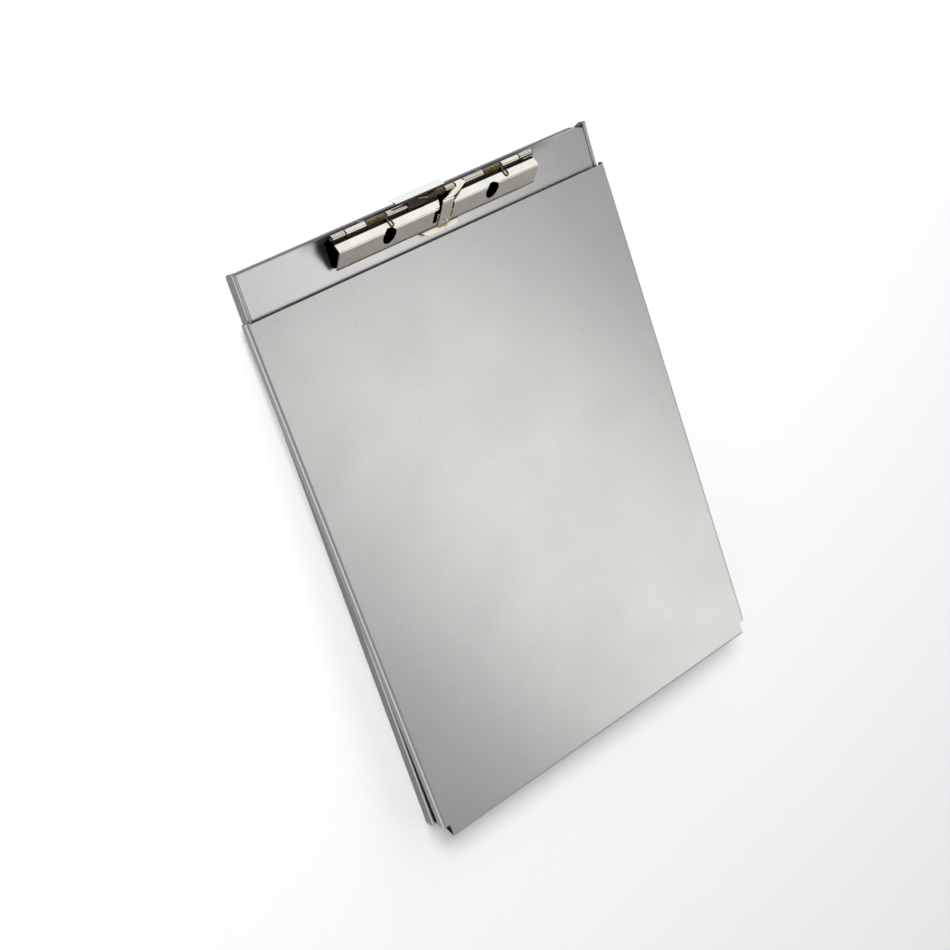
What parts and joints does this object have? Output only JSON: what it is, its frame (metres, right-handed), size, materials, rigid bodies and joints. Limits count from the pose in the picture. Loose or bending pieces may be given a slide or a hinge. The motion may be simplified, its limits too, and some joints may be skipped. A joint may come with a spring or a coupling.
{
  "type": "storage clipboard box",
  "caption": "Letter-size sheet-metal storage clipboard: a shallow tray, a wedge-shaped writing plate hinged at the foot, and a sprung bar clip with a thumb lever on a ledge at the head.",
  "frame": {"origin": "centre of the overall box, on the tray's back face", "axes": "+X across to the right of the writer, +Y from the foot hinge to the clip, +Z out of the writing plate"},
  "size_m": [0.2352, 0.3266, 0.0278],
  "materials": {
    "brushed_aluminium": "fine brushed, clear anodised",
    "nickel_plated_steel": "bright nickel plate",
    "cream_enamelled_steel": "satin cream",
    "spring_wire": "drawn, straw tempered",
    "hinge_aluminium": "mill",
    "hinge_steel": "drawn wire",
    "rivet_aluminium": "mill"
  },
  "bodies": {
    "tray": {"tray_pan": "brushed_aluminium", "head_ledge": "brushed_aluminium", "clip_base": "nickel_plated_steel", "clip_base_rivets": "nickel_plated_steel", "clip_pin": "nickel_plated_steel", "jaw_spring_left": "spring_wire", "lever_spring": "spring_wire", "jaw_spring_right": "spring_wire", "tray_hinge_leaf": "hinge_aluminium", "tray_hinge_rivets": "rivet_aluminium", "hinge_pin": "hinge_steel"},
    "cover": {"writing_plate": "brushed_aluminium", "plate_hinge_leaf": "hinge_aluminium", "plate_hinge_rivets": "rivet_aluminium"},
    "jaw": {"upper_jaw": "nickel_plated_steel", "jaw_strap": "nickel_plated_steel", "strap_rivet": "nickel_plated_steel", "paper_tongue": "cream_enamelled_steel"},
    "lever": {"thumb_lever": "nickel_plated_steel"}
  },
  "joints": [
    {"name": "cover_hinge", "type": "hinge", "parent": "tray", "child": "cover", "pos_m": [0, -0.16146, 0.011], "axis": [1, 0, 0], "range_deg": [0, 120]},
    {"name": "jaw_hinge", "type": "hinge", "parent": "tray", "child": "jaw", "pos_m": [0.0027, 0.15734, 0.01685], "axis": [-1, 0, 0], "range_deg": [0, 45], "stiffness_Nm_per_rad": 0.15, "springref_deg": -68.75, "deforming": ["jaw_spring_left", "jaw_spring_right"]},
    {"name": "lever_hinge", "type": "hinge", "parent": "tray", "child": "lever", "pos_m": [0.0027, 0.15734, 0.01685], "axis": [-1, 0, 0], "range_deg": [0, 45], "deforming": ["lever_spring"]}
  ],
  "couplings": [
    {"joint": "lever_hinge", "follows": "jaw_hinge", "ratio": 1}
  ]
}
